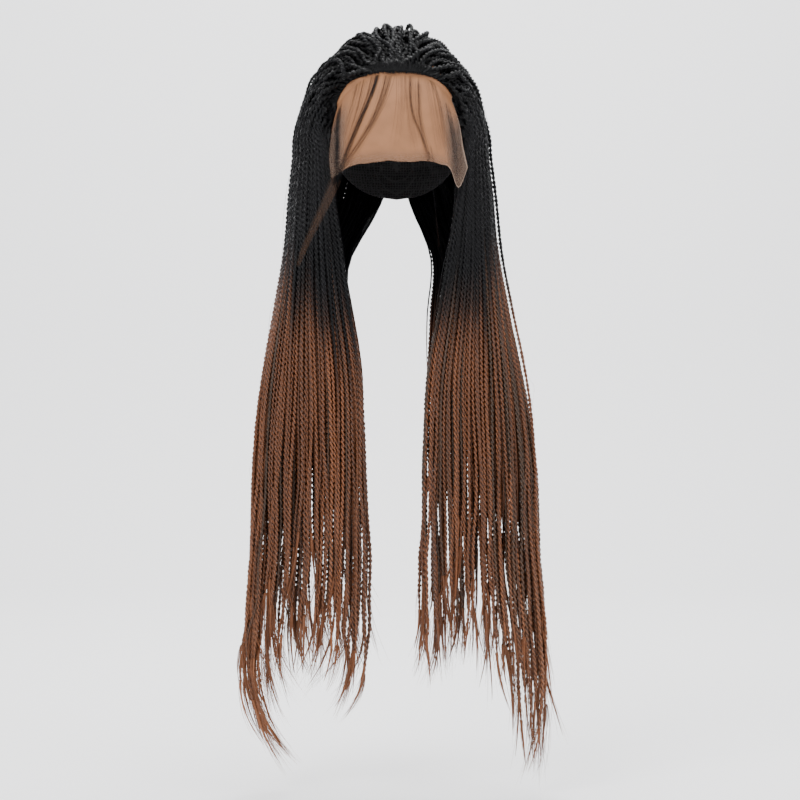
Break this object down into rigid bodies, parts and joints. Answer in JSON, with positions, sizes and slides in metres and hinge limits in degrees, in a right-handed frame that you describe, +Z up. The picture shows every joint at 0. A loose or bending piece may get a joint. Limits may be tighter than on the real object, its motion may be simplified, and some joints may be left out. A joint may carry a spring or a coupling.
{
  "type": "lace-front wig",
  "caption": "Long lace-front wig of fine two-strand twists, drawn back from the brow and brought forward over both shoulders, black turning to brown.",
  "frame": {"origin": "where the crown of the head sits inside the cap", "axes": "+Z up through the crown, -Y the way the face looks, +X towards the wearer's left"},
  "size_m": [0.3303, 0.2218, 0.8095],
  "materials": {
    "cap_net": "matt black stretch net",
    "lace": "sheer tan lace",
    "twist_hair": "synthetic hair, black at the roots and brown below"
  },
  "bodies": {
    "root": {"wig_cap": "cap_net", "lace_front": "lace", "nape_twists_right": "twist_hair", "crown_twists_right": "twist_hair", "temple_twists_right": "twist_hair", "nape_twists_left": "twist_hair", "crown_twists_left": "twist_hair", "temple_twists_left": "twist_hair"}
  },
  "joints": []
}
